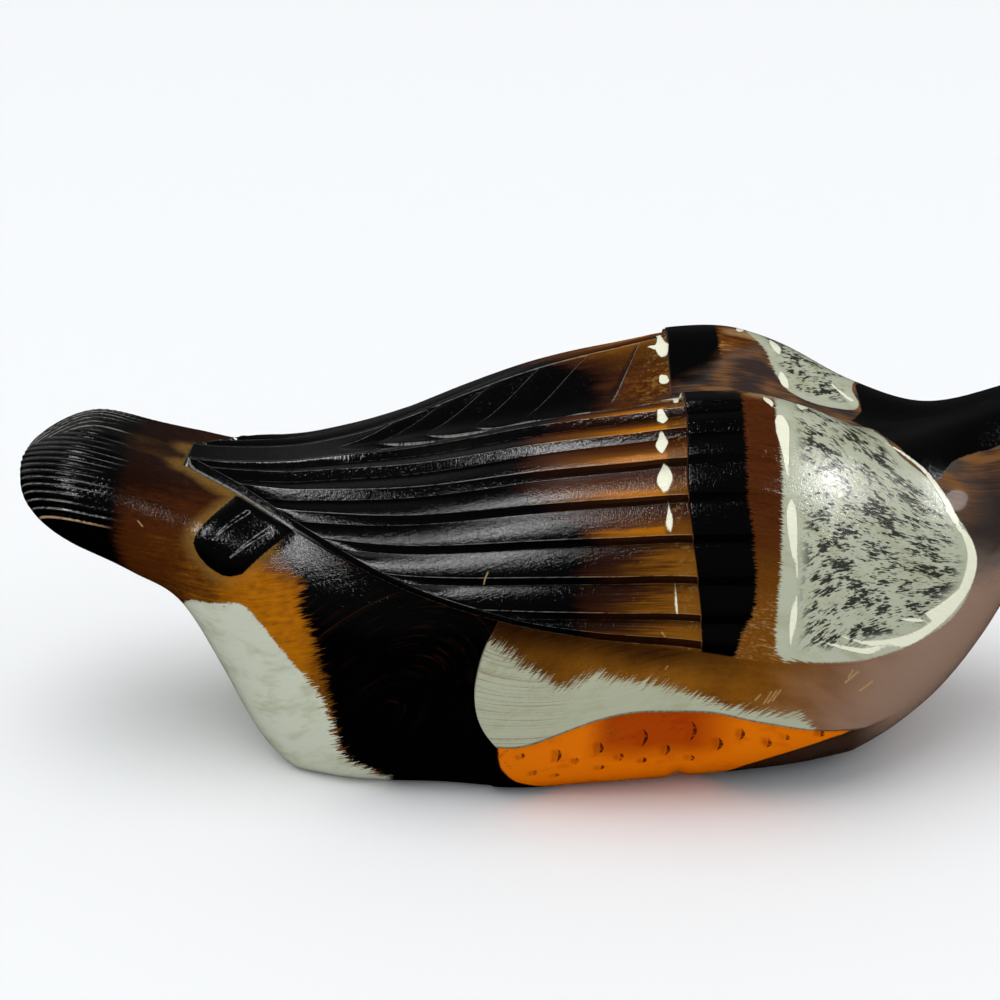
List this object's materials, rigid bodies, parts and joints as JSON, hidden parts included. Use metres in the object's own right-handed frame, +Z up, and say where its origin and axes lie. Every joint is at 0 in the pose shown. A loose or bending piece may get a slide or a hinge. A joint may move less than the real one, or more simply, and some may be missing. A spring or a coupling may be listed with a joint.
{
  "type": "goose decoy",
  "caption": "Carved and painted wooden goose resting on its flat belly, with shingled wing feathers, folded feet and a low forward neck.",
  "frame": {"origin": "centre of the whole goose's outline, on the surface it rests on", "axes": "+X from the tail towards the bill, +Y towards the goose's left, +Z up"},
  "size_m": [0.505, 0.153, 0.1988],
  "materials": {
    "painted_wood": "stain and paint under gloss varnish"
  },
  "bodies": {
    "root": {"goose": "painted_wood"}
  },
  "joints": []
}
